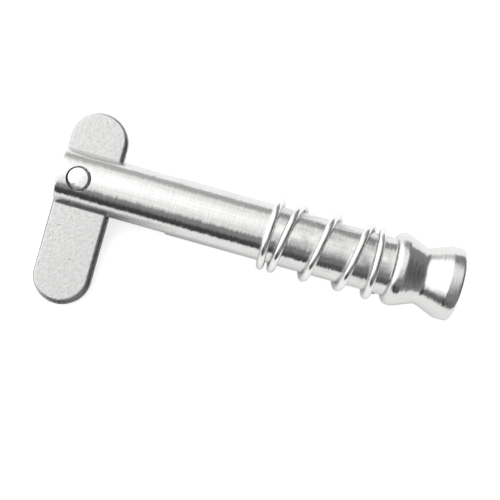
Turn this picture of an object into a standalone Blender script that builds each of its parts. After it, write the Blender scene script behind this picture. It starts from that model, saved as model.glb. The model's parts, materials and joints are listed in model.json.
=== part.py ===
"""A quick-release pin with a drop-nose toggle, for 6.3 mm holes.

Lengths are in metres, with +Z up. The pin lies on a flat surface at z = 0, on the edge of its tip, the first
coil of its spring and the long end of its toggle. Each piece is modelled in the pin's own frame: the origin
is the toggle's pivot, +X runs along the shaft towards the head, and +Z runs along the rivet. One empty lays
that frame down on the surface.
"""

import math

import bmesh
import bpy
from mathutils import Matrix

MM = 0.001

# Pin body, turned from one bar
SHAFT_DIAMETER = 6.3 * MM
TIP_WALL_PAST_HOLE = 1.1 * MM
PIVOT_TO_SHOULDER = 33.8 * MM
TIP_EDGE_RADIUS = 0.2 * MM
FRONT_LAND = 1.3 * MM
WAIST_DEPTH = 0.95 * MM
FRONT_CONE = 2.3 * MM
REAR_CONE = 2.4 * MM
REAR_LAND = 1.45 * MM
SHOULDER_EDGE_RADIUS = 0.6 * MM
LAND_EDGE_RADIUS = 0.5 * MM
WAIST_CORNER_RADIUS = 0.6 * MM
HEAD_EDGE_RADIUS = 0.7 * MM

# Toggle, a flat plate with round ends
TOGGLE_THICKNESS = 1.5 * MM
TOGGLE_NARROWER_THAN_SHAFT = 0.15 * MM
TOGGLE_LONG_END = 13.4 * MM
TOGGLE_SHORT_END = 7.5 * MM
TOGGLE_SIDE_OFFSET = 0.55 * MM
TOGGLE_EDGE_RADIUS = 0.45 * MM

# Slot through the tip, open at the end
SLOT_GAP_AT_TOGGLE_FACE = 0.15 * MM
SLOT_GAP_PAST_TOGGLE = 2.4 * MM

# Rivet, through both cheeks and the toggle
RIVET_DIAMETER = 2.2 * MM
RIVET_DOME = 0.1 * MM
RIVET_PROUD = 0.05 * MM
RIVET_GAP_IN_CHEEK = 0.15 * MM
RIVET_GAP_IN_TOGGLE = 0.1 * MM

# Compression spring, wound left-handed, with closed ends
WIRE_DIAMETER = 0.75 * MM
SPRING_GAP_ON_SHAFT = 0.1 * MM
SPRING_GAP_TO_SHOULDER = 0.35 * MM
SPRING_GAP_IN_CLOSED_TURN = 0.03 * MM
SPRING_RISE = 12.6 * MM
SPRING_TURNS = 5.1
SPRING_START_ANGLE = math.radians(-162)
CLOSED_TURNS_AT_TIP = 0.8
CLOSED_TURNS_AT_HEAD = 0.6
EASING_TURNS = 0.75

# Facets
TURNED_SEGMENTS = 64
RIVET_SEGMENTS = 32
CORNER_STEPS = 4
ROUND_END_STEPS = 24
DOME_STEPS = 3
EDGE_SEGMENTS = 3
COIL_STEPS_PER_TURN = 32
MERGE_DISTANCE = 0.001 * MM
CUT_MARGIN = 1.0 * MM
SHARP_ANGLE = math.radians(35)

SHAFT_RADIUS = SHAFT_DIAMETER / 2
CHEEK_HOLE_RADIUS = RIVET_DIAMETER / 2 + RIVET_GAP_IN_CHEEK
PIVOT_TO_TIP = CHEEK_HOLE_RADIUS + TIP_WALL_PAST_HOLE
TOGGLE_HOLE_RADIUS = RIVET_DIAMETER / 2 + RIVET_GAP_IN_TOGGLE
TOGGLE_WIDTH = SHAFT_DIAMETER - TOGGLE_NARROWER_THAN_SHAFT
SLOT_WIDTH = TOGGLE_THICKNESS + 2 * SLOT_GAP_AT_TOGGLE_FACE
SLOT_BEHIND_PIVOT = TOGGLE_SHORT_END + SLOT_GAP_PAST_TOGGLE
HEAD_RADIUS = SHAFT_RADIUS + SPRING_GAP_ON_SHAFT + WIRE_DIAMETER
WAIST_RADIUS = HEAD_RADIUS - WAIST_DEPTH
WAIST_START = PIVOT_TO_SHOULDER + FRONT_LAND + FRONT_CONE
HEAD_END = WAIST_START + REAR_CONE + REAR_LAND
COIL_RADIUS = SHAFT_RADIUS + SPRING_GAP_ON_SHAFT + WIRE_DIAMETER / 2
SPRING_LAST_WIRE = PIVOT_TO_SHOULDER - SPRING_GAP_TO_SHOULDER - WIRE_DIAMETER / 2
SPRING_FIRST_WIRE = SPRING_LAST_WIRE - SPRING_RISE


def clear_scene():
    for obj in list(bpy.data.objects):
        bpy.data.objects.remove(obj, do_unlink=True)


def new_collection(name):
    collection = bpy.data.collections.new(name)
    bpy.context.scene.collection.children.link(collection)
    return collection


def steel(name, colour, roughness):
    """A metal whose colour and roughness are those of one finish."""
    material = bpy.data.materials.new(name)
    material.use_nodes = True
    shader = material.node_tree.nodes["Principled BSDF"]
    shader.inputs["Base Color"].default_value = (*colour, 1.0)
    shader.inputs["Metallic"].default_value = 1.0
    shader.inputs["Roughness"].default_value = roughness
    return material


def add_object(name, data, collection, parent, material=None):
    obj = bpy.data.objects.new(name, data)
    collection.objects.link(obj)
    obj.parent = parent
    if material:
        data.materials.append(material)
    return obj


def round_corner(before, corner, after, radius, steps):
    """Points of the arc that rounds a corner of an outline with this radius."""
    to_before = (before[0] - corner[0], before[1] - corner[1])
    to_after = (after[0] - corner[0], after[1] - corner[1])
    length_before, length_after = math.hypot(*to_before), math.hypot(*to_after)
    to_before = (to_before[0] / length_before, to_before[1] / length_before)
    to_after = (to_after[0] / length_after, to_after[1] / length_after)
    half_angle = math.acos(to_before[0] * to_after[0] + to_before[1] * to_after[1]) / 2
    along_edge = radius / math.tan(half_angle)
    to_centre = radius / math.sin(half_angle)
    bisector = (to_before[0] + to_after[0], to_before[1] + to_after[1])
    bisector_length = math.hypot(*bisector)
    centre = [corner[i] + bisector[i] / bisector_length * to_centre for i in range(2)]
    start = [corner[i] + to_before[i] * along_edge for i in range(2)]
    end = [corner[i] + to_after[i] * along_edge for i in range(2)]
    first = math.atan2(start[1] - centre[1], start[0] - centre[0])
    last = math.atan2(end[1] - centre[1], end[0] - centre[0])
    turn = (last - first + math.pi) % math.tau - math.pi
    points = []
    for step in range(steps + 1):
        angle = first + turn * step / steps
        points.append((centre[0] + radius * math.cos(angle), centre[1] + radius * math.sin(angle)))
    return points


def rounded_outline(corners, steps):
    """An open outline from (x, y, radius) corners, where a radius of 0 keeps the corner sharp."""
    points = [corners[0][:2]]
    for before, corner, after in zip(corners, corners[1:], corners[2:]):
        if corner[2]:
            points += round_corner(before, corner[:2], after, corner[2], steps)
        else:
            points.append(corner[:2])
    points.append(corners[-1][:2])
    return points


def turned_mesh(name, profile):
    """The (radius, height) profile of a turned piece as edges at +X, running down its outer side."""
    shape = bmesh.new()
    row = [shape.verts.new((radius, 0.0, height)) for radius, height in profile]
    for above, below in zip(row, row[1:]):
        shape.edges.new((above, below))
    mesh = bpy.data.meshes.new(name)
    shape.to_mesh(mesh)
    shape.free()
    return mesh


def turn_about_z(obj, segments):
    screw = obj.modifiers.new("Turned", "SCREW")
    screw.steps = segments
    screw.render_steps = segments
    screw.use_merge_vertices = True
    screw.merge_threshold = MERGE_DISTANCE
    screw.use_smooth_shade = True


def as_mesh_object(curve_object, material):
    """A mesh object in place of a filled curve, with its caps welded to its sides."""
    bpy.context.view_layer.update()
    evaluated = curve_object.evaluated_get(bpy.context.evaluated_depsgraph_get())
    mesh = bpy.data.meshes.new_from_object(evaluated)
    shape = bmesh.new()
    shape.from_mesh(mesh)
    bmesh.ops.remove_doubles(shape, verts=shape.verts, dist=MERGE_DISTANCE)
    bmesh.ops.recalc_face_normals(shape, faces=shape.faces)
    shape.to_mesh(mesh)
    shape.free()
    name, parent, world = curve_object.name, curve_object.parent, curve_object.matrix_world.copy()
    collection = curve_object.users_collection[0]
    bpy.data.objects.remove(curve_object, do_unlink=True)
    obj = add_object(name, mesh, collection, parent, material)
    obj.matrix_world = world
    return obj


def add_cutter(name, mesh, collection, parent):
    cutter = add_object(name, mesh, collection, parent)
    cutter.hide_render = True
    cutter.display_type = "WIRE"
    return cutter


def box_cutter(name, low, high, collection, parent):
    shape = bmesh.new()
    size = [high[i] - low[i] for i in range(3)]
    centre = [(high[i] + low[i]) / 2 for i in range(3)]
    place = Matrix.Translation(centre) @ Matrix.Diagonal((*size, 1.0))
    bmesh.ops.create_cube(shape, size=1.0, matrix=place)
    mesh = bpy.data.meshes.new(name)
    shape.to_mesh(mesh)
    shape.free()
    return add_cutter(name, mesh, collection, parent)


def drill_cutter(name, radius, length, collection, parent):
    """A drill along Z, centred on the pivot."""
    shape = bmesh.new()
    bmesh.ops.create_cone(
        shape,
        cap_ends=True,
        segments=RIVET_SEGMENTS,
        radius1=radius,
        radius2=radius,
        depth=length,
    )
    mesh = bpy.data.meshes.new(name)
    shape.to_mesh(mesh)
    shape.free()
    return add_cutter(name, mesh, collection, parent)


def cut(obj, cutter):
    boolean = obj.modifiers.new(cutter.name, "BOOLEAN")
    boolean.operation = "DIFFERENCE"
    boolean.solver = "EXACT"
    boolean.object = cutter


def laid_down():
    """How the pin's own frame lies: the height of its pivot, the rise of its shaft and its roll.

    In side view the surface touches the tip's rounded edge and the first coil's wire, two circles. The
    pin then rolls until the rounded edge of the toggle's long end meets the surface.
    """
    tip_centre = (TIP_EDGE_RADIUS - PIVOT_TO_TIP, SHAFT_RADIUS - TIP_EDGE_RADIUS)
    wire_centre = (SPRING_FIRST_WIRE, COIL_RADIUS)
    between = (wire_centre[0] - tip_centre[0], wire_centre[1] - tip_centre[1])
    radius_difference = WIRE_DIAMETER / 2 - TIP_EDGE_RADIUS
    rise = math.atan2(between[1], between[0]) + math.asin(radius_difference / math.hypot(*between))
    height = tip_centre[1] * math.cos(rise) - tip_centre[0] * math.sin(rise) + TIP_EDGE_RADIUS

    reach = TOGGLE_LONG_END - TOGGLE_EDGE_RADIUS
    side = TOGGLE_THICKNESS / 2 - TOGGLE_EDGE_RADIUS
    drop = height + TOGGLE_SIDE_OFFSET * math.sin(rise) - TOGGLE_EDGE_RADIUS
    roll = math.asin(drop / math.cos(rise) / math.hypot(reach, side)) - math.atan2(side, reach)
    return height, rise, roll


def add_rest_frame(collection):
    """The empty that carries every piece, with the origin under the middle of the pin."""
    height, rise, roll = laid_down()
    rest = add_object("pin_frame", None, collection, None)
    middle_along = (HEAD_END - PIVOT_TO_TIP) / 2 * math.cos(rise)
    middle_across = (TOGGLE_SHORT_END - TOGGLE_LONG_END) / 2 * math.cos(roll)
    rest.location = (-middle_along, -middle_across, height)
    rest.rotation_euler = (roll, -rise, 0.0)
    return rest


def pin_profile():
    """Radius and height from the middle of the head's end down to the middle of the tip.

    The shoulder is as wide as the spring that bears on it.
    """
    return rounded_outline(
        [
            (0.0, HEAD_END),
            (HEAD_RADIUS, HEAD_END, HEAD_EDGE_RADIUS),
            (HEAD_RADIUS, WAIST_START + REAR_CONE, LAND_EDGE_RADIUS),
            (WAIST_RADIUS, WAIST_START, WAIST_CORNER_RADIUS),
            (HEAD_RADIUS, PIVOT_TO_SHOULDER + FRONT_LAND, LAND_EDGE_RADIUS),
            (HEAD_RADIUS, PIVOT_TO_SHOULDER, SHOULDER_EDGE_RADIUS),
            (SHAFT_RADIUS, PIVOT_TO_SHOULDER, 0.0),
            (SHAFT_RADIUS, -PIVOT_TO_TIP, TIP_EDGE_RADIUS),
            (0.0, -PIVOT_TO_TIP),
        ],
        CORNER_STEPS,
    )


def add_pin_body(parts, cutters, rest):
    material = steel("turned_steel", (0.78, 0.78, 0.77), 0.18)
    body = add_object("pin_body", turned_mesh("pin_body", pin_profile()), parts, rest, material)
    body.rotation_euler = (0.0, math.pi / 2, 0.0)
    turn_about_z(body, TURNED_SEGMENTS)
    across = SHAFT_RADIUS + CUT_MARGIN
    slot = box_cutter(
        "slot_cutter",
        (-PIVOT_TO_TIP - CUT_MARGIN, -across, -SLOT_WIDTH / 2),
        (SLOT_BEHIND_PIVOT, across, SLOT_WIDTH / 2),
        cutters,
        rest,
    )
    hole = drill_cutter("cheek_hole_cutter", CHEEK_HOLE_RADIUS, 2 * across, cutters, rest)
    cut(body, slot)
    cut(body, hole)
    return body


def add_rivet(parts, rest):
    """A plain rivet whose ends are peened into shallow domes."""
    radius = RIVET_DIAMETER / 2
    top = SHAFT_RADIUS + RIVET_PROUD
    sphere = (radius**2 + RIVET_DOME**2) / (2 * RIVET_DOME)
    half_angle = math.asin(radius / sphere)
    dome = []
    for step in range(DOME_STEPS + 1):
        angle = half_angle * step / DOME_STEPS
        dome.append((sphere * math.sin(angle), top - sphere * (1 - math.cos(angle))))
    other_dome = [(across, -height) for across, height in reversed(dome)]
    material = steel("rivet_steel", (0.80, 0.80, 0.79), 0.22)
    rivet = add_object("pivot_rivet", turned_mesh("pivot_rivet", dome + other_dome), parts, rest, material)
    turn_about_z(rivet, RIVET_SEGMENTS)
    return rivet


def toggle_outline():
    """The plate's outline, a straight-sided strip with a half circle at each end."""
    radius = TOGGLE_WIDTH / 2
    points = []
    for middle, first in ((TOGGLE_SHORT_END - radius, 0.0), (radius - TOGGLE_LONG_END, math.pi)):
        for step in range(ROUND_END_STEPS + 1):
            angle = first + math.pi * step / ROUND_END_STEPS
            points.append((TOGGLE_SIDE_OFFSET + radius * math.cos(angle), middle + radius * math.sin(angle)))
    return points


def add_toggle(parts, cutters, rest):
    material = steel("tumbled_steel", (0.62, 0.62, 0.61), 0.48)
    curve = bpy.data.curves.new("drop_toggle", "CURVE")
    curve.dimensions = "2D"
    curve.fill_mode = "BOTH"
    curve.extrude = TOGGLE_THICKNESS / 2
    outline = toggle_outline()
    spline = curve.splines.new("POLY")
    spline.points.add(len(outline) - 1)
    spline.use_cyclic_u = True
    for point, (across, along) in zip(spline.points, outline):
        point.co = (across, along, 0.0, 1.0)
    toggle = as_mesh_object(add_object("drop_toggle", curve, parts, rest), material)
    edges = toggle.modifiers.new("Rounded edges", "BEVEL")
    edges.width = TOGGLE_EDGE_RADIUS
    edges.segments = EDGE_SEGMENTS
    edges.limit_method = "ANGLE"
    edges.angle_limit = SHARP_ANGLE
    edges.use_clamp_overlap = False
    depth = TOGGLE_THICKNESS + CUT_MARGIN
    hole = drill_cutter("toggle_hole_cutter", TOGGLE_HOLE_RADIUS, depth, cutters, rest)
    cut(toggle, hole)
    toggle.data.shade_smooth()
    toggle.data.set_sharp_from_angle(angle=SHARP_ANGLE)
    return toggle


def coil_place(turn):
    """How far along the spring a turn has come: closed at both ends, with an even pitch between them."""
    closed_pitch = WIRE_DIAMETER + SPRING_GAP_IN_CLOSED_TURN
    opened_rise = SPRING_RISE - closed_pitch * SPRING_TURNS
    open_turns = SPRING_TURNS - CLOSED_TURNS_AT_TIP - CLOSED_TURNS_AT_HEAD
    easing = min(EASING_TURNS, open_turns / 2)
    done = min(max(turn - CLOSED_TURNS_AT_TIP, 0.0), open_turns)
    eased_in = min(done, easing) ** 2 / (2 * easing)
    steady = min(max(done - easing, 0.0), open_turns - 2 * easing)
    left = min(open_turns - done, easing)
    eased_out = easing / 2 - left**2 / (2 * easing)
    return closed_pitch * turn + opened_rise * (eased_in + steady + eased_out) / (open_turns - easing)


def add_spring(parts, rest):
    """The coil as one wire, which starts near -Z, passes -Y and then crosses the side that faces +Z."""
    curve = bpy.data.curves.new("compression_spring", "CURVE")
    curve.dimensions = "3D"
    curve.bevel_depth = WIRE_DIAMETER / 2
    curve.bevel_resolution = 2
    curve.use_fill_caps = True
    count = round(SPRING_TURNS * COIL_STEPS_PER_TURN)
    spline = curve.splines.new("POLY")
    spline.points.add(count)
    for step, point in enumerate(spline.points):
        turn = SPRING_TURNS * step / count
        angle = SPRING_START_ANGLE + math.tau * turn
        along = SPRING_FIRST_WIRE + coil_place(turn)
        across, up = COIL_RADIUS * math.sin(angle), COIL_RADIUS * math.cos(angle)
        point.co = (along, across, up, 1.0)
    material = steel("spring_steel", (0.80, 0.80, 0.79), 0.2)
    return add_object("compression_spring", curve, parts, rest, material)


def main():
    clear_scene()
    parts = new_collection("quick_release_pin")
    cutters = new_collection("cutters")
    rest = add_rest_frame(parts)
    add_pin_body(parts, cutters, rest)
    add_rivet(parts, rest)
    add_toggle(parts, cutters, rest)
    add_spring(parts, rest)


main()
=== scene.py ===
"""Looks of the quick-release pin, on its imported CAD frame.

Lengths are in millimetres, or in metres where the name ends in _M. Every piece is made in the pin's own
frame, and place() takes it into the world. That frame's origin is the toggle's pivot, +X runs along the shaft
towards the head, and +Z runs along the rivet towards the camera.
"""

import json
import math

import bmesh
import bpy
from mathutils import Matrix, Vector


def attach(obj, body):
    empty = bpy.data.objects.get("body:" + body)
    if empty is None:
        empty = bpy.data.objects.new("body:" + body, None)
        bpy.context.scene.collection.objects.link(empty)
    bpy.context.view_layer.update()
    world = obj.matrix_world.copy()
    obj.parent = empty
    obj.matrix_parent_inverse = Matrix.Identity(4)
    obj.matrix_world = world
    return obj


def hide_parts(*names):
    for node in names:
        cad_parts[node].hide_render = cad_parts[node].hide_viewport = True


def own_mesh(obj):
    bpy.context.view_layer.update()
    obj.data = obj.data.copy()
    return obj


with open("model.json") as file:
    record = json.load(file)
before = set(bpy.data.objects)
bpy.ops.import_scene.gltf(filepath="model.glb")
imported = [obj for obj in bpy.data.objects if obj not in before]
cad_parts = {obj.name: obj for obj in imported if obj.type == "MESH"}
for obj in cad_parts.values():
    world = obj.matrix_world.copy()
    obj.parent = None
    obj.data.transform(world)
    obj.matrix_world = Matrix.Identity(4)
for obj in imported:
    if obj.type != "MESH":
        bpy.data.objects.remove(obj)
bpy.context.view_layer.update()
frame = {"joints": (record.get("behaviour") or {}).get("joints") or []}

MM = 0.001
WHITE = (1.0, 1.0, 1.0, 1.0)

# Pin body
SHAFT_RADIUS = 3.15
PIVOT_TO_TIP = 2.35
PIVOT_TO_SHOULDER = 33.8
HEAD_RADIUS = 4.0
WAIST_RADIUS = 3.05
FRONT_LAND = 1.3
FRONT_CONE = 2.3
REAR_CONE = 2.4
REAR_LAND = 1.45
TIP_EDGE_RADIUS = 0.2
SHOULDER_EDGE_RADIUS = 0.8
LAND_EDGE_RADIUS = 0.5
WAIST_CORNER_RADIUS = 0.6
HEAD_EDGE_RADIUS = 0.35
WAIST_START = PIVOT_TO_SHOULDER + FRONT_LAND + FRONT_CONE
HEAD_END = WAIST_START + REAR_CONE + REAR_LAND

# Slot and rivet hole in its tip
SLOT_WIDTH = 1.8
SLOT_BEHIND_PIVOT = 9.9
SLOT_EDGE_BREAK = 0.06
CHEEK_HOLE_RADIUS = 1.33
CUT_MARGIN = 1.0

# Rivet, whose shown end slopes and has a flat towards one side
RIVET_RADIUS = 1.14
RIVET_EDGE_RADIUS = 0.1
RIVET_PROUD = 0.05
RIVET_DOME = 0.08
RIVET_TILT = 0.06
RIVET_OFF_CENTRE = -0.08
RIVET_FLAT = 0.25
RIVET_FLAT_FROM = 0.2

# Toggle, whose worn edge is widest in one direction
TOGGLE_THICKNESS = 1.5
TOGGLE_WIDTH = 6.15
TOGGLE_LONG_END = 13.4
TOGGLE_SHORT_END = 7.5
TOGGLE_SIDE_OFFSET = 0.55
TOGGLE_EDGE_WIDTH = 0.3
TOGGLE_WORN_EDGE_WIDTH = 0.64
TOGGLE_WORN_TOWARD = math.radians(-60)
TOGGLE_EDGE_HEIGHT = 0.28
TOGGLE_EDGE_POWER = 1.7
TOGGLE_HOLE_RADIUS = 1.25

# Spring: its wire, where the middle of that starts, how far it rises along the shaft, and how it winds
WIRE_RADIUS = 0.42
COIL_RADIUS = 3.67
SPRING_FIRST_WIRE = 20.375
SPRING_RISE = 12.5
SPRING_TURNS = 5.1
SPRING_START_ANGLE = math.radians(-162)
CLOSED_TURNS_AT_TIP = 0.8
CLOSED_TURNS_AT_HEAD = 0.8
EASING_TURNS = 0.75
CLOSED_PITCH = 0.86
COIL_LEAN = 0.27
LAST_COIL_LEAN = 0.25
LAST_COIL_FROM_TURN = 3.7

# Facets
TURNED_SEGMENTS = 192
LONGEST_STEP = 0.5
RIVET_SEGMENTS = 96
RIVET_RINGS = 12
FLAT_INSET = 0.06
CORNER_STEPS = 8
ROUND_END_STEPS = 64
EDGE_STEPS = 12
WIRE_SIDES = 20
COIL_STEPS_PER_TURN = 96
TANGENT_TURNS = 0.001
SMOOTH_BELOW = math.radians(32)

# Noises in the steel: scales are per millimetre, and those of wrapped ones go along, round and outwards
TURNING_RINGS = {"along": 6.0, "across": 0.9, "detail": 4.0, "roughness": 0.75}
TURNING_WAVES = {"along": 5.0, "across": 0.5, "detail": 1.0, "roughness": 0.5}
TURNING_STROKES = {"along": 7.0, "across": 0.6, "detail": 3.0, "roughness": 0.8}
WRAPPED_SCUFFS = {"scales": (0.5, 2.5, 1.0), "detail": 3.0, "roughness": 0.55}
# Lines along the axis: partly polish lines, partly painted reflection streaks
WRAPPED_LINES_AND_REFLECTIONS = {"scales": (0.12, 16.0, 1.0), "detail": 3.0, "roughness": 0.7}
RIVET_DENTS = {"scales": (1.6, 1.6, 1.6), "detail": 2.0, "roughness": 0.5}
RIVET_GRAIN = {"scales": (9.0, 9.0, 9.0), "detail": 2.0, "roughness": 0.6}
TOGGLE_PEBBLES = {"scales": (3.2, 3.2, 3.2), "detail": 4.0, "roughness": 0.75}
TOGGLE_MOTTLE = {"scales": (3.0, 3.0, 3.0), "detail": 4.0, "roughness": 0.8}
TOGGLE_DENTS = {"scales": (1.6, 1.6, 1.6), "detail": 1.0, "roughness": 0.4}
WIRE_STREAKS = {"scales": (6.0, 1.2, 1.2), "detail": 3.0, "roughness": 0.6}

# The part of a noise's values that a finish uses, from none to full
USUAL_SPREAD = (0.3, 0.7)
STROKE_SPREAD = (0.25, 0.75)
SCUFF_SPREAD = (0.35, 0.75)
LINE_SPREAD = (0.35, 0.65)
DENT_SPREAD = (0.74, 0.80)
MOTTLE_SPREAD = (0.30, 0.65)

# Relief: how deep it is, the shares of its second noises, and how far strokes lean the normal
TURNING_DEPTH = 0.018
RIVET_DEPTH = 0.03
PEBBLE_DEPTH = 0.04
STREAK_DEPTH = 0.01
WAVE_SHARE = 0.4
GRAIN_SHARE = 0.12
DENT_SHARE = 0.6
STROKE_LEAN = 0.05

# Band under the spring, darkened partly by rub marks and partly by painted shade from its coils, how scuffed
# the metal is elsewhere, and how much scuffing and painted shade the shaft's -Y side keeps
RUB_AND_SHADE_START = (20.0, 22.0)
RUB_AND_SHADE_END = (33.8, 33.0)
SCUFFS_ELSEWHERE = 0.15
SCUFFS_AND_SHADE_FADE_ACROSS = (-2.6, -1.4)
SCUFFS_AND_SHADE_LEFT_THERE = 0.3

# Roughness, and what scuffs with the painted shade under the spring, rings, and lines with painted reflection
# streaks take from the shade
TURNED_ROUGHNESS = (0.08, 0.17)
SCUFF_ROUGHNESS = 0.12
RIVET_ROUGHNESS = (0.14, 0.24)
TOGGLE_ROUGHNESS = (0.14, 0.22)
WIRE_ROUGHNESS = (0.12, 0.22)
SCUFF_AND_SPRING_SHADE = 0.62
RING_SHADE = 0.12
LINE_AND_REFLECTION_SHADE = 0.14

# Colours of each metal, from its dark marks to its bright ground; the turned steel's dark end is also where
# the painted shade under the spring leads
TURNED_COLOURS = ((0.38, 0.38, 0.375), (0.80, 0.80, 0.79))
RIVET_COLOURS = ((0.74, 0.74, 0.73), (0.84, 0.84, 0.83))
TOGGLE_COLOURS = ((0.52, 0.52, 0.515), (0.62, 0.62, 0.615))
WIRE_COLOURS = ((0.80, 0.80, 0.79), (0.90, 0.90, 0.89))

# Camera, from the photo's perspective
FOCAL_PX = 936.0
FRAME_PX = 500.0
SENSOR_MM = 36.0
CAMERA_DISTANCE = 100.0
CAMERA_OVER = (19.1, -2.31)
CAMERA_ROLL = math.radians(15.7)
CLIP_START_M = 0.001
CLIP_END_M = 10.0

# Soft panel overhead: its middle in the pin's frame, and its strength by degrees away from there
PANEL_MIDDLE = (-0.45, 0.40, 0.80)
PANEL_FADE = (
    (0, 1.56),
    (20, 1.46),
    (26, 1.32),
    (32, 1.12),
    (38, 0.98),
    (44, 1.08),
    (50, 1.02),
    (90, 0.60),
    (180, 0.50),
)
PANEL_LONGER_PAST_TIP = 1.2

# The panel's long edges, by the sideways lean of a direction, and its end by how far it goes along the pin
PANEL_LOW_EDGE = -0.47
PANEL_HIGH_EDGE = 0.95
PANEL_HEAD_EDGE = (0.66, 0.42)
PANEL_EDGE_SOFTNESS = 0.035

# How far along the pin a direction is past the tip or the head, and how the long edges move from there on
PAST_TIP = -0.2
PAST_HEAD = 0.08
LOW_EDGE_MOVES = {"past_tip": -0.9, "past_head": 3.0}
HIGH_EDGE_MOVES = {"past_tip": 0.4, "past_head": -0.6}

# Streaks that fray the panel's edges and the walls
PANEL_STREAKS = {"scales": (1.0, 13.0, 13.0), "detail": 3.0, "roughness": 0.6}
STREAK_SHIFT = 0.045
STREAK_CONTRAST = 0.22

# Walls round the panel: grey, dark far out on the -Y side, lighter on the +Y side, and dark past the head.
# Their edges are by sideways lean, and where they start and end is by how far a direction goes along the pin.
GREY_WALL = 0.26
DARK_WALL = 0.05
DARK_WALL_EDGE = -0.79
DARK_WALL_START = (-0.6, -0.3)
DARK_WALL_END = (0.04, 0.32)
LIGHT_WALL = 0.52
LIGHT_WALL_EDGE = (0.5, 0.9)
LIGHT_WALL_END = (0.05, 0.16)
END_WALL = 0.05
END_WALL_START = (0.74, 0.86)

# The panel as a lamp
LAMP_DISTANCE_M = 0.35
LAMP_SIZE_M = 0.25
LAMP_WATTS = 0.45

# Floor: how far it reaches from its middle, its glow to the camera and in metal, and its matt grey
FLOOR_REACH_M = 2.0
FLOOR_GLOW_TO_CAMERA = 0.68
FLOOR_GLOW_IN_METAL = 0.17
FLOOR_ALBEDO = 0.80

# The floor close to the pin as metal mirrors it: darker on the -Y side and lit on the +Y side. Each pair runs
# from where there is none of it to where it is full.
SHADE_IN_METAL = 0.45
SHADE_BESIDE_SHAFT = (-12.0, -5.5)
SHADE_ENDS_ALONG = (34.0, 4.0)
SHADE_BESIDE_TOGGLE = (12.0, 5.0)
SHADE_PAST_TOGGLE = (-30.0, -16.0)
SHADE_PAST_TIP = (-8.0, -3.0)
SHADE_ENDS_ACROSS = (3.0, 0.0)
LIT_SIDE = (3.0, 7.0)
LIT_SIDE_GLOW = 0.09


def pin_frame():
    """The pin's own frame in the world, from the places and axes of its joints."""
    joints = {joint["name"]: joint for joint in frame["joints"]}
    along = Vector(joints["spring_compression"]["axis"]).normalized()
    up = -Vector(joints["toggle_pivot"]["axis"]).normalized()
    across = up.cross(along).normalized()
    in_world = Matrix((along, across, up)).transposed().to_4x4()
    in_world.translation = Vector(joints["toggle_pivot"]["pos_m"])
    return in_world


PIN_FRAME = pin_frame()


def round_corner(before, corner, after, radius):
    """Points of the arc that rounds a corner of an outline with this radius."""
    corner = Vector(corner)
    to_before = (Vector(before) - corner).normalized()
    to_after = (Vector(after) - corner).normalized()
    half_angle = to_before.angle(to_after) / 2
    centre = corner + (to_before + to_after).normalized() * radius / math.sin(half_angle)
    start = corner + to_before * radius / math.tan(half_angle) - centre
    end = corner + to_after * radius / math.tan(half_angle) - centre
    first = math.atan2(start.y, start.x)
    turn = (math.atan2(end.y, end.x) - first + math.pi) % math.tau - math.pi
    points = []
    for step in range(CORNER_STEPS + 1):
        angle = first + turn * step / CORNER_STEPS
        points.append((centre.x + radius * math.cos(angle), centre.y + radius * math.sin(angle)))
    return points


def rounded_outline(corners):
    """An open outline from (x, y, radius) corners, where a radius of 0 keeps the corner sharp."""
    points = [corners[0][:2]]
    for before, corner, after in zip(corners, corners[1:], corners[2:]):
        if corner[2]:
            points += round_corner(before[:2], corner[:2], after[:2], corner[2])
        else:
            points.append(corner[:2])
    points.append(corners[-1][:2])
    return points


def split_long(points, longest):
    """The same outline with no step longer than this, so that smooth shading stays true along it."""
    split = [points[0]]
    for start, end in zip(points, points[1:]):
        count = math.ceil(math.dist(start, end) / longest)
        for i in range(1, count + 1):
            split.append(tuple(start[k] + (end[k] - start[k]) * i / count for k in range(2)))
    return split


def skinned_shape(rings):
    """A closed shape through rings of points, where a ring may be a single point."""
    shape = bmesh.new()
    loops = [[shape.verts.new(point) for point in ring] for ring in rings]
    for one, other in zip(loops, loops[1:]):
        for i in range(max(len(one), len(other))):
            j = i + 1
            corners = (one[i % len(one)], one[j % len(one)], other[j % len(other)], other[i % len(other)])
            shape.faces.new(list(dict.fromkeys(corners)))
    for loop in (loops[0], loops[-1]):
        if len(loop) > 1:
            shape.faces.new(loop)
    return shape


def lathe_shape(profile, segments):
    """A turned shape from (radius, along) points, with its axis on X."""
    rings = []
    for radius, along in profile:
        count = segments if radius > 0 else 1
        angles = [math.tau * i / count for i in range(count)]
        rings.append([(along, radius * math.sin(angle), radius * math.cos(angle)) for angle in angles])
    return skinned_shape(rings)


def new_object(name, shape):
    """An object of this shape, with its faces outwards."""
    bmesh.ops.recalc_face_normals(shape, faces=shape.faces)
    mesh = bpy.data.meshes.new(name)
    shape.to_mesh(mesh)
    shape.free()
    obj = bpy.data.objects.new(name, mesh)
    bpy.context.scene.collection.objects.link(obj)
    return obj


def box_cutter(low, high):
    shape = bmesh.new()
    size = [high[i] - low[i] for i in range(3)]
    centre = [(high[i] + low[i]) / 2 for i in range(3)]
    bmesh.ops.create_cube(shape, size=1.0, matrix=Matrix.Translation(centre) @ Matrix.Diagonal((*size, 1.0)))
    return new_object("cutter", shape)


def drill_cutter(radius, depth):
    shape = bmesh.new()
    bmesh.ops.create_cone(
        shape, cap_ends=True, segments=RIVET_SEGMENTS, radius1=radius, radius2=radius, depth=depth
    )
    return new_object("cutter", shape)


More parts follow.
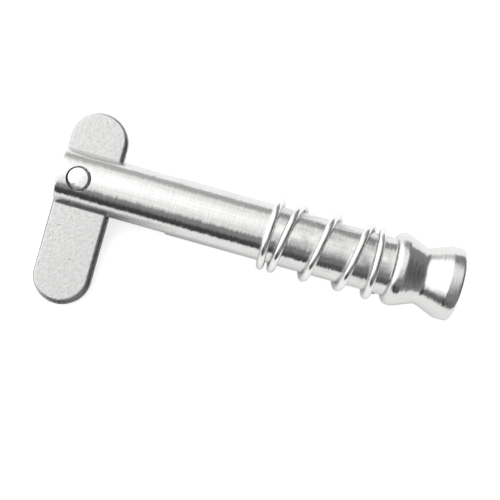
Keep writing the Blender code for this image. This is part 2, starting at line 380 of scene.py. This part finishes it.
def cut(obj, cutters, edge_break=0.0):
    """Cuts the object and breaks its sharp edges, and leaves no modifier on it."""
    for cutter in cutters:
        boolean = obj.modifiers.new("Cut", "BOOLEAN")
        boolean.operation = "DIFFERENCE"
        boolean.solver = "EXACT"
        boolean.object = cutter
    if edge_break:
        bevel = obj.modifiers.new("Edges", "BEVEL")
        bevel.width = edge_break
        bevel.segments = 1
        bevel.limit_method = "ANGLE"
        bevel.angle_limit = SMOOTH_BELOW
        bevel.use_clamp_overlap = True
    bpy.context.view_layer.update()
    mesh = bpy.data.meshes.new_from_object(obj.evaluated_get(bpy.context.evaluated_depsgraph_get()))
    obj.modifiers.clear()
    obj.data = mesh
    for cutter in cutters:
        bpy.data.objects.remove(cutter, do_unlink=True)


def place(obj, body, node, material):
    """Takes a piece from millimetres in the pin's frame into the world, where it stands for its CAD node."""
    obj.data.transform(Matrix.Scale(MM, 4))
    obj.data.shade_smooth()
    obj.data.set_sharp_from_angle(angle=SMOOTH_BELOW)
    obj.data.materials.clear()
    obj.data.materials.append(material)
    obj.matrix_world = PIN_FRAME
    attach(obj, body)
    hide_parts(node)


def pin_profile():
    """The body's outline as (radius, along) points, from the head's end to the tip."""
    return rounded_outline(
        [
            (0.0, HEAD_END),
            (HEAD_RADIUS, HEAD_END, HEAD_EDGE_RADIUS),
            (HEAD_RADIUS, WAIST_START + REAR_CONE, LAND_EDGE_RADIUS),
            (WAIST_RADIUS, WAIST_START, WAIST_CORNER_RADIUS),
            (HEAD_RADIUS, PIVOT_TO_SHOULDER + FRONT_LAND, LAND_EDGE_RADIUS),
            (HEAD_RADIUS, PIVOT_TO_SHOULDER, SHOULDER_EDGE_RADIUS),
            (SHAFT_RADIUS, PIVOT_TO_SHOULDER, 0.0),
            (SHAFT_RADIUS, -PIVOT_TO_TIP, TIP_EDGE_RADIUS),
            (0.0, -PIVOT_TO_TIP),
        ]
    )


def make_pin_body(material):
    profile = split_long(pin_profile(), LONGEST_STEP)
    body = new_object("turned_pin_body", lathe_shape(profile, TURNED_SEGMENTS))
    across = SHAFT_RADIUS + CUT_MARGIN
    low = (-PIVOT_TO_TIP - CUT_MARGIN, -across, -SLOT_WIDTH / 2)
    high = (SLOT_BEHIND_PIVOT, across, SLOT_WIDTH / 2)
    cut(body, [box_cutter(low, high), drill_cutter(CHEEK_HOLE_RADIUS, 2 * across)], SLOT_EDGE_BREAK)
    place(body, "pin", "pin_body", material)


def make_rivet(material):
    """A rivet with rounded rims and slightly domed ends, of which the shown one was struck askew."""
    top = SHAFT_RADIUS + RIVET_PROUD
    half = rounded_outline([(0.0, top), (RIVET_RADIUS, top, RIVET_EDGE_RADIUS), (RIVET_RADIUS, 0.0)])
    half = split_long(half, RIVET_RADIUS / RIVET_RINGS)
    profile = half[:-1] + [(radius, -along) for radius, along in reversed(half)]
    shape = lathe_shape(profile, RIVET_SEGMENTS)
    bmesh.ops.rotate(shape, verts=shape.verts, cent=(0, 0, 0), matrix=Matrix.Rotation(-math.pi / 2, 3, "Y"))
    for vert in shape.verts:
        x, y, z = vert.co
        to_end = z / top
        slope = RIVET_TILT * (x + y - RIVET_RADIUS) / 2
        flat = RIVET_FLAT * max(-x / 2 - y - RIVET_FLAT_FROM, 0.0) ** 2
        vert.co.z -= to_end * RIVET_DOME * (x * x + y * y) / RIVET_RADIUS**2
        vert.co.z += max(to_end, 0.0) * (slope - flat)
        vert.co.x += RIVET_OFF_CENTRE
    rivet = new_object("peened_rivet", shape)
    place(rivet, "pin", "pivot_rivet", material)


def toggle_outline(share, extra=0.0):
    """The toggle's outline with round ends, set in by this share of its edge's width and by the extra."""
    radius = TOGGLE_WIDTH / 2
    wider = TOGGLE_WORN_EDGE_WIDTH - TOGGLE_EDGE_WIDTH
    points = []
    for middle, first in ((TOGGLE_SHORT_END - radius, 0.0), (radius - TOGGLE_LONG_END, math.pi)):
        for step in range(ROUND_END_STEPS + 1):
            angle = first + math.pi * step / ROUND_END_STEPS
            width = TOGGLE_EDGE_WIDTH + wider * max(math.cos(angle - TOGGLE_WORN_TOWARD), 0.0)
            reach = radius - share * width - extra
            points.append((TOGGLE_SIDE_OFFSET + reach * math.cos(angle), middle + reach * math.sin(angle)))
    return points


def toggle_shape():
    """A flat strip with a half circle at each end and a worn edge.

    A ring a little inside the edge keeps the flat face's shading flat.
    """
    half = TOGGLE_THICKNESS / 2
    levels = [(toggle_outline(1.0, FLAT_INSET), half)]
    for step in range(EDGE_STEPS + 1):
        outward = step / EDGE_STEPS
        levels.append((toggle_outline(1 - outward), half - TOGGLE_EDGE_HEIGHT * outward**TOGGLE_EDGE_POWER))
    levels += [(outline, -height) for outline, height in reversed(levels)]
    return skinned_shape([[(x, y, height) for x, y in outline] for outline, height in levels])


def make_toggle(material):
    toggle = new_object("tumbled_toggle", toggle_shape())
    cut(toggle, [drill_cutter(TOGGLE_HOLE_RADIUS, TOGGLE_THICKNESS + CUT_MARGIN)])
    place(toggle, "toggle", "drop_toggle", material)


def coil_rise(turn):
    """How far along the spring a turn has come: closed at both ends, with an even pitch between them."""
    opened_rise = SPRING_RISE - CLOSED_PITCH * SPRING_TURNS
    open_turns = SPRING_TURNS - CLOSED_TURNS_AT_TIP - CLOSED_TURNS_AT_HEAD
    done = min(max(turn - CLOSED_TURNS_AT_TIP, 0.0), open_turns)
    eased_in = min(done, EASING_TURNS) ** 2 / (2 * EASING_TURNS)
    steady = min(max(done - EASING_TURNS, 0.0), open_turns - 2 * EASING_TURNS)
    left = min(open_turns - done, EASING_TURNS)
    eased_out = EASING_TURNS / 2 - left**2 / (2 * EASING_TURNS)
    return CLOSED_PITCH * turn + opened_rise * (eased_in + steady + eased_out) / (open_turns - EASING_TURNS)


def coil_point(turn):
    """The middle of the wire after this many turns.

    Every coil leans with its shown side towards the tip, and the last one with its +Y side too.
    """
    angle = SPRING_START_ANGLE + math.tau * turn
    on_last = min(max(turn - LAST_COIL_FROM_TURN, 0.0), 1.0)
    last_lean = LAST_COIL_LEAN * on_last * on_last * (3 - 2 * on_last)
    to_tip = last_lean * math.sin(angle) + COIL_LEAN * math.cos(angle)
    along = SPRING_FIRST_WIRE + coil_rise(turn) - to_tip
    return Vector((along, COIL_RADIUS * math.sin(angle), COIL_RADIUS * math.cos(angle)))


def wire_ring(turn):
    """Points round the wire, square to it, after this many turns."""
    centre = coil_point(turn)
    tangent = (coil_point(turn + TANGENT_TURNS) - coil_point(turn - TANGENT_TURNS)).normalized()
    outward = Vector((0.0, centre.y, centre.z)).normalized()
    side = tangent.cross(outward).normalized()
    outward = side.cross(tangent)
    ring = []
    for i in range(WIRE_SIDES):
        angle = math.tau * i / WIRE_SIDES
        ring.append(centre + (outward * math.cos(angle) + side * math.sin(angle)) * WIRE_RADIUS)
    return ring


def make_spring(material):
    """One wire swept along the coil, with its ends cut square."""
    count = round(SPRING_TURNS * COIL_STEPS_PER_TURN)
    rings = [wire_ring(SPRING_TURNS * step / count) for step in range(count + 1)]
    spring = new_object("coil_spring", skinned_shape(rings))
    place(spring, "spring", "compression_spring", material)
    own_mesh(spring)


class Nodes:
    """Builds one node tree: each call adds a node, joins its inputs and returns its output."""

    def __init__(self, tree):
        self.tree = tree

    def add(self, kind, inputs=(), output=0, **settings):
        node = self.tree.nodes.new(kind)
        for name, value in settings.items():
            setattr(node, name, value)
        for key, value in dict(inputs).items():
            if isinstance(value, bpy.types.NodeSocket):
                self.tree.links.new(value, node.inputs[key])
            else:
                node.inputs[key].default_value = value
        return node.outputs[output]

    def math(self, operation, *values):
        return self.add("ShaderNodeMath", dict(enumerate(values)), operation=operation)

    def vector_math(self, operation, *values, output=0):
        return self.add("ShaderNodeVectorMath", dict(enumerate(values)), output, operation=operation)

    def dot(self, vector, constant):
        return self.vector_math("DOT_PRODUCT", vector, tuple(constant), output=1)

    def combined(self, x=0.0, y=0.0, z=0.0):
        return self.add("ShaderNodeCombineXYZ", {"X": x, "Y": y, "Z": z})

    def smooth(self, value, low, high, to_low=0.0, to_high=1.0):
        """A smooth step that takes low..high to to_low..to_high."""
        return self.add(
            "ShaderNodeMapRange",
            {"Value": value, "From Min": low, "From Max": high, "To Min": to_low, "To Max": to_high},
            interpolation_type="SMOOTHSTEP",
        )

    def noise(self, vector, scales, detail, roughness, w=None):
        """A noise with a scale along each axis, in four dimensions where w is given."""
        scaled = self.vector_math("MULTIPLY", vector, scales)
        inputs = {"Vector": scaled, "Scale": 1.0, "Detail": detail, "Roughness": roughness}
        if w is None:
            return self.add("ShaderNodeTexNoise", inputs)
        return self.add("ShaderNodeTexNoise", {**inputs, "W": w}, noise_dimensions="4D")

    def ramp(self, value, stops):
        """A curve through (position, grey level) stops, of which one is at 0 and one at 1."""
        node = self.tree.nodes.new("ShaderNodeValToRGB")
        self.tree.links.new(value, node.inputs["Fac"])
        elements = node.color_ramp.elements
        for position, level in stops:
            if 0 < position < 1:
                element = elements.new(position)
            else:
                element = elements[0] if position <= 0 else elements[-1]
            element.color = (level, level, level, 1.0)
        return node.outputs["Color"]

    def colour(self, factor, dark, light):
        """A colour between two, by the factor."""
        node = self.tree.nodes.new("ShaderNodeMix")
        node.data_type = "RGBA"
        self.tree.links.new(factor, node.inputs["Factor"])
        colours = [socket for socket in node.inputs if socket.type == "RGBA"]
        colours[0].default_value = (*dark, 1.0)
        colours[1].default_value = (*light, 1.0)
        return next(socket for socket in node.outputs if socket.type == "RGBA")

    def relief(self, height, depth):
        """The surface's normal with a relief of this depth in millimetres."""
        return self.add("ShaderNodeBump", {"Strength": 1.0, "Distance": depth * MM, "Height": height})


def new_steel(name):
    """An empty metal: its material, its node builder and its own coordinates in millimetres."""
    material = bpy.data.materials.new(name)
    material.use_nodes = True
    nodes = Nodes(material.node_tree)
    coordinates = nodes.add("ShaderNodeTexCoord", output="Object")
    return material, nodes, nodes.vector_math("MULTIPLY", coordinates, (1 / MM, 1 / MM, 1 / MM))


def finish_steel(nodes, normal, roughness, colour):
    """Joins what the nodes work out to the metal's shader."""
    shader = nodes.tree.nodes["Principled BSDF"]
    shader.inputs["Metallic"].default_value = 1.0
    nodes.tree.links.new(normal, shader.inputs["Normal"])
    nodes.tree.links.new(roughness, shader.inputs["Roughness"])
    nodes.tree.links.new(colour, shader.inputs["Base Color"])


def turned_steel():
    """Polished in the lathe: fine marks run round the axis, uneven enough to fray the reflections."""
    material, nodes, point = new_steel("turned_steel")
    x, y, z = (nodes.dot(point, axis) for axis in ((1, 0, 0), (0, 1, 0), (0, 0, 1)))
    radius = nodes.math("SQRT", nodes.math("ADD", nodes.math("MULTIPLY", y, y), nodes.math("MULTIPLY", z, z)))
    along_profile = nodes.math("ADD", x, radius)

    def marks_round(along, across, detail, roughness):
        """Marks round the axis, on cylinders, cones and flat ends alike."""
        w = nodes.math("MULTIPLY", along_profile, along)
        return nodes.noise(point, (0.0, across, across), detail, roughness, w)

    rings = marks_round(**TURNING_RINGS)
    waves = marks_round(**TURNING_WAVES)
    strokes = marks_round(**TURNING_STROKES)
    relief = nodes.relief(nodes.math("ADD", rings, nodes.math("MULTIPLY", waves, WAVE_SHARE)), TURNING_DEPTH)

    # Each stroke leans the normal a little round the axis
    lean = nodes.math("DIVIDE", nodes.smooth(strokes, *STROKE_SPREAD, -STROKE_LEAN, STROKE_LEAN), radius)
    lean_across = nodes.math("MULTIPLY", z, lean)
    lean_up = nodes.math("MULTIPLY", nodes.math("MULTIPLY", y, lean), -1.0)
    leaning = nodes.add(
        "ShaderNodeVectorTransform",
        {0: nodes.combined(y=lean_across, z=lean_up)},
        convert_from="OBJECT",
        convert_to="WORLD",
    )
    normal = nodes.vector_math("NORMALIZE", nodes.vector_math("ADD", relief, leaning))

    wrapped = nodes.combined(x, nodes.math("ARCTAN2", y, z), radius)
    # Fine lines along the axis, partly polish lines and partly painted reflection streaks of the
    # surroundings.
    lines_and_reflections = nodes.noise(wrapped, **WRAPPED_LINES_AND_REFLECTIONS)
    # Scuffs darken and roughen the steel a little everywhere. In the band under the spring the darkening is
    # partly rub marks and partly painted shade from the coils, and both are weaker on the shaft's -Y side.
    scuffs = nodes.smooth(nodes.noise(wrapped, **WRAPPED_SCUFFS), *SCUFF_SPREAD)
    scuffs = nodes.math("MULTIPLY", scuffs, nodes.smooth(y, *SCUFFS_AND_SHADE_FADE_ACROSS, SCUFFS_AND_SHADE_LEFT_THERE, 1.0))
    under_spring = nodes.math("MULTIPLY", nodes.smooth(x, *RUB_AND_SHADE_START), nodes.smooth(x, *RUB_AND_SHADE_END))
    rub_and_shade_share = nodes.math("MULTIPLY_ADD", under_spring, 1 - SCUFFS_ELSEWHERE, SCUFFS_ELSEWHERE)
    scuffs_and_spring_shade = nodes.math("MULTIPLY", scuffs, rub_and_shade_share)

    polish = nodes.smooth(rings, *USUAL_SPREAD, *TURNED_ROUGHNESS)
    roughness = nodes.math("MULTIPLY_ADD", scuffs_and_spring_shade, SCUFF_ROUGHNESS, polish)
    ring_shade = nodes.smooth(rings, *USUAL_SPREAD, 0.0, RING_SHADE)
    marks = nodes.math("ADD", ring_shade, nodes.smooth(lines_and_reflections, *LINE_SPREAD, 0.0, LINE_AND_REFLECTION_SHADE))
    shade = nodes.math("SUBTRACT", 1.0, nodes.math("MULTIPLY_ADD", scuffs_and_spring_shade, SCUFF_AND_SPRING_SHADE, marks))
    finish_steel(nodes, normal, roughness, nodes.colour(shade, *TURNED_COLOURS))
    return material


def rivet_steel():
    """Peened and polished: soft dents with a fine grain."""
    material, nodes, point = new_steel("rivet_steel")
    dents = nodes.noise(point, **RIVET_DENTS)
    grain = nodes.noise(point, **RIVET_GRAIN)
    relief = nodes.relief(nodes.math("ADD", dents, nodes.math("MULTIPLY", grain, GRAIN_SHARE)), RIVET_DEPTH)
    roughness = nodes.smooth(grain, *USUAL_SPREAD, *RIVET_ROUGHNESS)
    finish_steel(nodes, relief, roughness, nodes.colour(dents, *RIVET_COLOURS))
    return material


def tumbled_steel():
    """Matt from tumbling: fine pebbles, a few dents and a mottled shade."""
    material, nodes, point = new_steel("tumbled_steel")
    pebbles = nodes.noise(point, **TOGGLE_PEBBLES)
    mottle = nodes.noise(point, **TOGGLE_MOTTLE)
    dents = nodes.smooth(nodes.noise(point, **TOGGLE_DENTS), *DENT_SPREAD)
    height = nodes.math("SUBTRACT", pebbles, nodes.math("MULTIPLY", dents, DENT_SHARE))
    roughness = nodes.smooth(mottle, *USUAL_SPREAD, *TOGGLE_ROUGHNESS)
    colour = nodes.colour(nodes.smooth(mottle, *MOTTLE_SPREAD), *TOGGLE_COLOURS)
    finish_steel(nodes, nodes.relief(height, PEBBLE_DEPTH), roughness, colour)
    return material


def spring_steel():
    """Drawn wire: bright, with faint draw lines along it."""
    material, nodes, point = new_steel("spring_steel")
    streaks = nodes.noise(point, **WIRE_STREAKS)
    roughness = nodes.smooth(streaks, *USUAL_SPREAD, *WIRE_ROUGHNESS)
    colour = nodes.colour(streaks, *WIRE_COLOURS)
    finish_steel(nodes, nodes.relief(streaks, STREAK_DEPTH), roughness, colour)
    return material


def floor_shade(nodes, along, across):
    """How much darker metal mirrors the floor: beside the shaft, and beside the toggle's long end."""
    by_shaft = nodes.math(
        "MULTIPLY", nodes.smooth(across, *SHADE_BESIDE_SHAFT), nodes.smooth(along, *SHADE_ENDS_ALONG)
    )
    by_toggle = nodes.math(
        "MULTIPLY", nodes.smooth(along, *SHADE_BESIDE_TOGGLE), nodes.smooth(across, *SHADE_PAST_TOGGLE)
    )
    by_toggle = nodes.math("MULTIPLY", by_toggle, nodes.smooth(along, *SHADE_PAST_TIP))
    shade = nodes.math("MAXIMUM", by_shaft, by_toggle)
    shade = nodes.math("MULTIPLY", shade, nodes.smooth(across, *SHADE_ENDS_ACROSS))
    return nodes.math("MULTIPLY", shade, SHADE_IN_METAL)


def make_floor():
    """A floor that shows as white, keeps the pin's shadow, and mirrors darker in the metal close by."""
    shape = bmesh.new()
    bmesh.ops.create_grid(shape, x_segments=1, y_segments=1, size=FLOOR_REACH_M)
    floor = new_object("floor", shape)
    material = bpy.data.materials.new("floor")
    material.use_nodes = True
    tree = material.node_tree
    tree.nodes.remove(tree.nodes["Principled BSDF"])
    nodes = Nodes(tree)
    camera = nodes.add("ShaderNodeLightPath", output="Is Camera Ray")
    glossy = nodes.add("ShaderNodeLightPath", output="Is Glossy Ray")
    spot = nodes.add("ShaderNodeTexCoord", output="Object")
    from_pivot = nodes.vector_math("SUBTRACT", spot, tuple(PIN_FRAME.translation))
    along, across = (nodes.dot(from_pivot, PIN_FRAME.col[i].to_3d() / MM) for i in range(2))
    shade = nodes.math("MULTIPLY", floor_shade(nodes, along, across), glossy)
    kept = nodes.math("SUBTRACT", 1.0, shade)
    lit = nodes.smooth(across, *LIT_SIDE, 0.0, LIT_SIDE_GLOW)
    in_metal = nodes.math("MULTIPLY", glossy, nodes.math("MULTIPLY_ADD", kept, FLOOR_GLOW_IN_METAL, lit))
    strength = nodes.math("MULTIPLY_ADD", camera, FLOOR_GLOW_TO_CAMERA, in_metal)
    glow = nodes.add("ShaderNodeEmission", {"Strength": strength})
    matt = nodes.add("ShaderNodeBsdfDiffuse", {"Color": nodes.math("MULTIPLY", kept, FLOOR_ALBEDO)})
    both = nodes.add("ShaderNodeAddShader", {0: glow, 1: matt})
    tree.links.new(both, tree.nodes["Material Output"].inputs["Surface"])
    floor.data.materials.append(material)


def panel_cover(nodes, along, lean, past_tip, past_head):
    """Whether a direction meets the panel: 1 on it, 0 off it, and between the two on its soft edges."""
    soft = PANEL_EDGE_SOFTNESS
    low_edge = nodes.math("MULTIPLY_ADD", past_tip, LOW_EDGE_MOVES["past_tip"], PANEL_LOW_EDGE)
    low_edge = nodes.math("MULTIPLY_ADD", past_head, LOW_EDGE_MOVES["past_head"], low_edge)
    high_edge = nodes.math("MULTIPLY_ADD", past_head, HIGH_EDGE_MOVES["past_head"], PANEL_HIGH_EDGE)
    high_edge = nodes.math("MULTIPLY_ADD", past_tip, HIGH_EDGE_MOVES["past_tip"], high_edge)
    over_low = nodes.smooth(nodes.math("SUBTRACT", lean, low_edge), -soft, soft)
    under_high = nodes.smooth(nodes.math("SUBTRACT", high_edge, lean), -soft, soft)
    cover = nodes.math("MULTIPLY", over_low, under_high)
    return nodes.math("MULTIPLY", cover, nodes.smooth(along, *PANEL_HEAD_EDGE))


def panel_light(nodes, direction, past_tip):
    """The panel's strength by the angle from its middle, on a ramp whose 0..1 are a cosine of -1..1."""
    cosine = nodes.math("MULTIPLY_ADD", past_tip, PANEL_LONGER_PAST_TIP, nodes.dot(direction, PANEL_MIDDLE))
    on_ramp = nodes.math("MULTIPLY_ADD", cosine, 0.5, 0.5)
    strongest = max(level for degrees, level in PANEL_FADE)
    stops = []
    for degrees, level in PANEL_FADE:
        stops.append(((math.cos(math.radians(degrees)) + 1) / 2, level / strongest))
    return nodes.math("MULTIPLY", nodes.ramp(on_ramp, stops), strongest)


def wall_light(nodes, along, lean, uneven):
    """The walls' strength, with their lighter, dark and end parts."""
    soft = PANEL_EDGE_SOFTNESS
    lighter = nodes.smooth(lean, *LIGHT_WALL_EDGE, 0.0, LIGHT_WALL - GREY_WALL)
    lighter = nodes.math("MULTIPLY", lighter, nodes.smooth(along, *LIGHT_WALL_END, 1.0, 0.0))
    darker = nodes.smooth(lean, DARK_WALL_EDGE - soft, DARK_WALL_EDGE + soft, GREY_WALL - DARK_WALL, 0.0)
    darker = nodes.math("MULTIPLY", darker, nodes.smooth(along, *DARK_WALL_START))
    darker = nodes.math("MULTIPLY", darker, nodes.smooth(along, *DARK_WALL_END, 1.0, 0.0))
    walls = nodes.math("SUBTRACT", nodes.math("ADD", lighter, GREY_WALL), darker)
    walls = nodes.math("MULTIPLY", walls, nodes.smooth(along, *END_WALL_START, 1.0, END_WALL / GREY_WALL))
    return nodes.math("MULTIPLY", walls, uneven)


def make_world():
    """A room with one broad soft panel overhead, which is longest past the tip, and darker walls round it.

    Directions are told apart by how far they go along the pin and how far they lean sideways. Long uneven
    streaks fray the edges.
    """
    world = bpy.data.worlds.new("studio")
    bpy.context.scene.world = world
    world.use_nodes = True
    tree = world.node_tree
    nodes = Nodes(tree)
    in_world = nodes.add("ShaderNodeTexCoord", output="Generated")
    along, across, up = (nodes.dot(in_world, PIN_FRAME.col[i].to_3d()) for i in range(3))
    direction = nodes.combined(along, across, up)

    streaks = nodes.noise(direction, **PANEL_STREAKS)
    shift = nodes.smooth(streaks, *USUAL_SPREAD, -STREAK_SHIFT, STREAK_SHIFT)
    uneven = nodes.smooth(streaks, *USUAL_SPREAD, 1 + STREAK_CONTRAST, 1 - STREAK_CONTRAST)
    off_axis = nodes.math("SQRT", nodes.math("SUBTRACT", 1.0, nodes.math("MULTIPLY", along, along)))
    lean = nodes.math("ADD", nodes.math("DIVIDE", across, off_axis), shift)
    past_tip = nodes.math("MAXIMUM", nodes.math("SUBTRACT", PAST_TIP, along), 0.0)
    past_head = nodes.math("MAXIMUM", nodes.math("SUBTRACT", along, PAST_HEAD), 0.0)

    cover = panel_cover(nodes, along, lean, past_tip, past_head)
    panel = panel_light(nodes, direction, past_tip)
    walls = wall_light(nodes, along, lean, uneven)
    light = nodes.add("ShaderNodeMix", {"Factor": cover, "A": walls, "B": panel})
    camera = nodes.add("ShaderNodeLightPath", output="Is Camera Ray")
    studio = nodes.add("ShaderNodeBackground", {"Color": WHITE, "Strength": light})
    background = nodes.add("ShaderNodeBackground", {"Color": WHITE, "Strength": 1.0})
    mixed = nodes.add("ShaderNodeMixShader", {0: camera, 1: studio, 2: background})
    tree.links.new(mixed, tree.nodes["World Output"].inputs["Surface"])


def make_light():
    """The same panel as a lamp for matt surfaces, as metal already mirrors it in the world."""
    data = bpy.data.lights.new("panel", "AREA")
    data.shape = "RECTANGLE"
    data.size = LAMP_SIZE_M
    data.size_y = LAMP_SIZE_M
    data.energy = LAMP_WATTS
    light = bpy.data.objects.new("panel", data)
    bpy.context.scene.collection.objects.link(light)
    light.location = PIN_FRAME @ (Vector(PANEL_MIDDLE) * LAMP_DISTANCE_M)
    light.rotation_euler = light.location.to_track_quat("Z", "Y").to_euler()
    light.visible_glossy = False


def make_camera():
    data = bpy.data.cameras.new("camera")
    data.sensor_width = SENSOR_MM
    data.lens = FOCAL_PX / FRAME_PX * SENSOR_MM
    data.clip_start = CLIP_START_M
    data.clip_end = CLIP_END_M
    camera = bpy.data.objects.new("camera", data)
    bpy.context.scene.collection.objects.link(camera)
    over = Vector((*CAMERA_OVER, CAMERA_DISTANCE)) * MM
    camera.matrix_world = PIN_FRAME @ Matrix.Translation(over) @ Matrix.Rotation(CAMERA_ROLL, 4, "Z")
    bpy.context.scene.camera = camera


def main():
    make_pin_body(turned_steel())
    make_rivet(rivet_steel())
    make_toggle(tumbled_steel())
    make_spring(spring_steel())
    make_floor()
    make_world()
    make_light()
    make_camera()
    bpy.context.scene.view_settings.view_transform = "Standard"


main()
